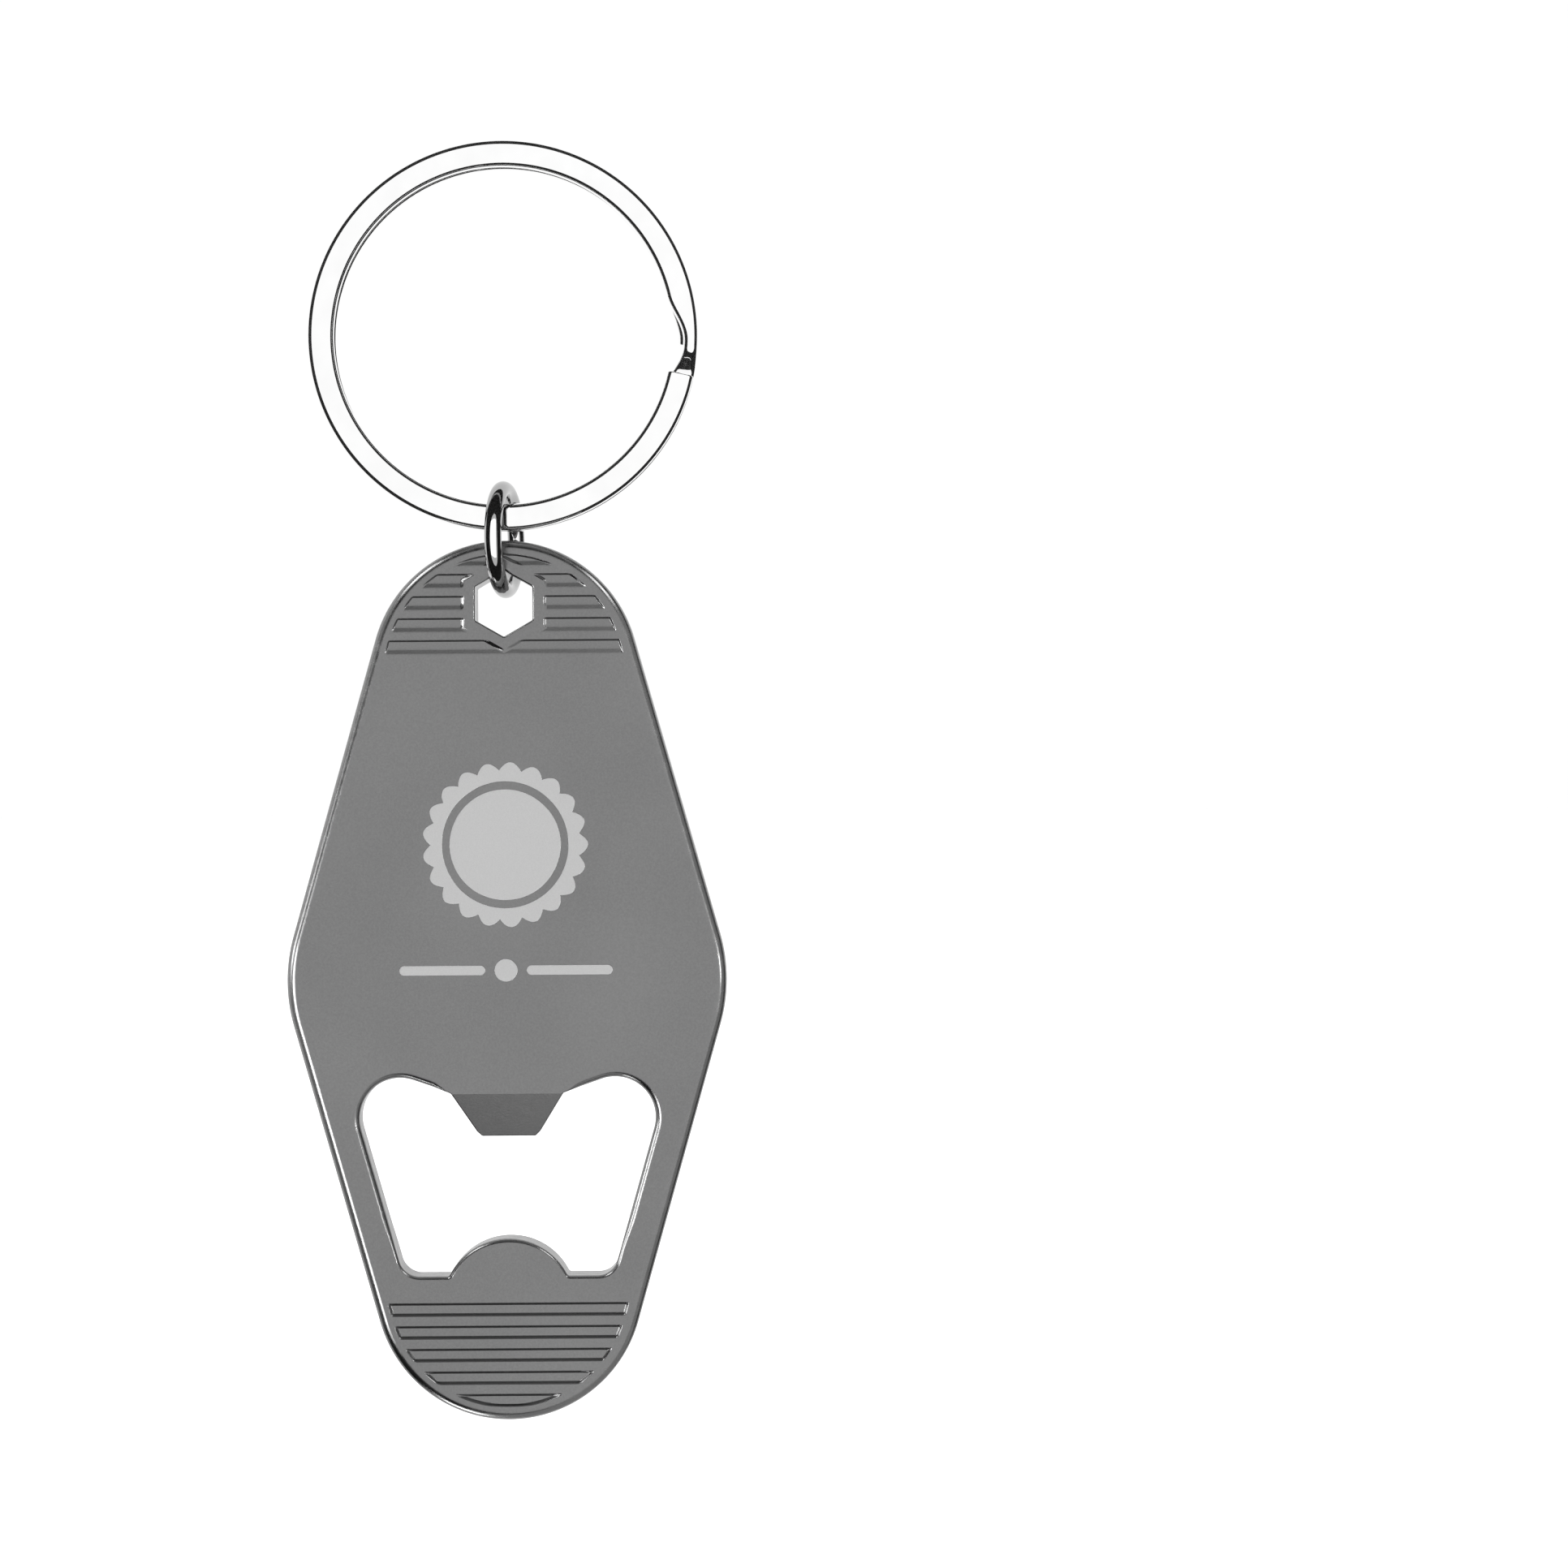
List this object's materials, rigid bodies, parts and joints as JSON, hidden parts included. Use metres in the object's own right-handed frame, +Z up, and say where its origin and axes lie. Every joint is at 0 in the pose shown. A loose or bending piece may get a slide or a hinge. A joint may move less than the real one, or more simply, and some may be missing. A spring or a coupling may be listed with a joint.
{
  "type": "keychain bottle opener",
  "caption": "Flat bottle opener plate in a tapered key fob outline with a toothed cap opening and grooved ends, hung by a jump ring from a split key ring.",
  "frame": {"origin": "the point inside the top of the split ring where a hook or a key bears", "axes": "+Z up, against the pull of the hanging parts; +X to the right of the front face, along the plate's width; +Y towards the back, through the plate's thickness"},
  "size_m": [0.036, 0.0096, 0.1048],
  "materials": {
    "ring_nickel": "polished nickel plating on spring steel",
    "plate_gunmetal": "satin gunmetal plating on die-cast zinc, with a pale matte laser mark"
  },
  "bodies": {
    "split_ring": {"split_ring": "ring_nickel"},
    "jump_ring": {"jump_ring": "ring_nickel"},
    "opener_plate": {"opener_plate": "plate_gunmetal"}
  },
  "joints": [
    {"name": "jump_ring_swing", "type": "hinge", "parent": "split_ring", "child": "jump_ring", "pos_m": [0, 0, -0.0287], "axis": [1, 0, 0], "range_deg": [-90, 90]},
    {"name": "plate_swing", "type": "hinge", "parent": "jump_ring", "child": "opener_plate", "pos_m": [0, 0, -0.03458], "axis": [0, 1, 0], "range_deg": [-20, 20]}
  ]
}
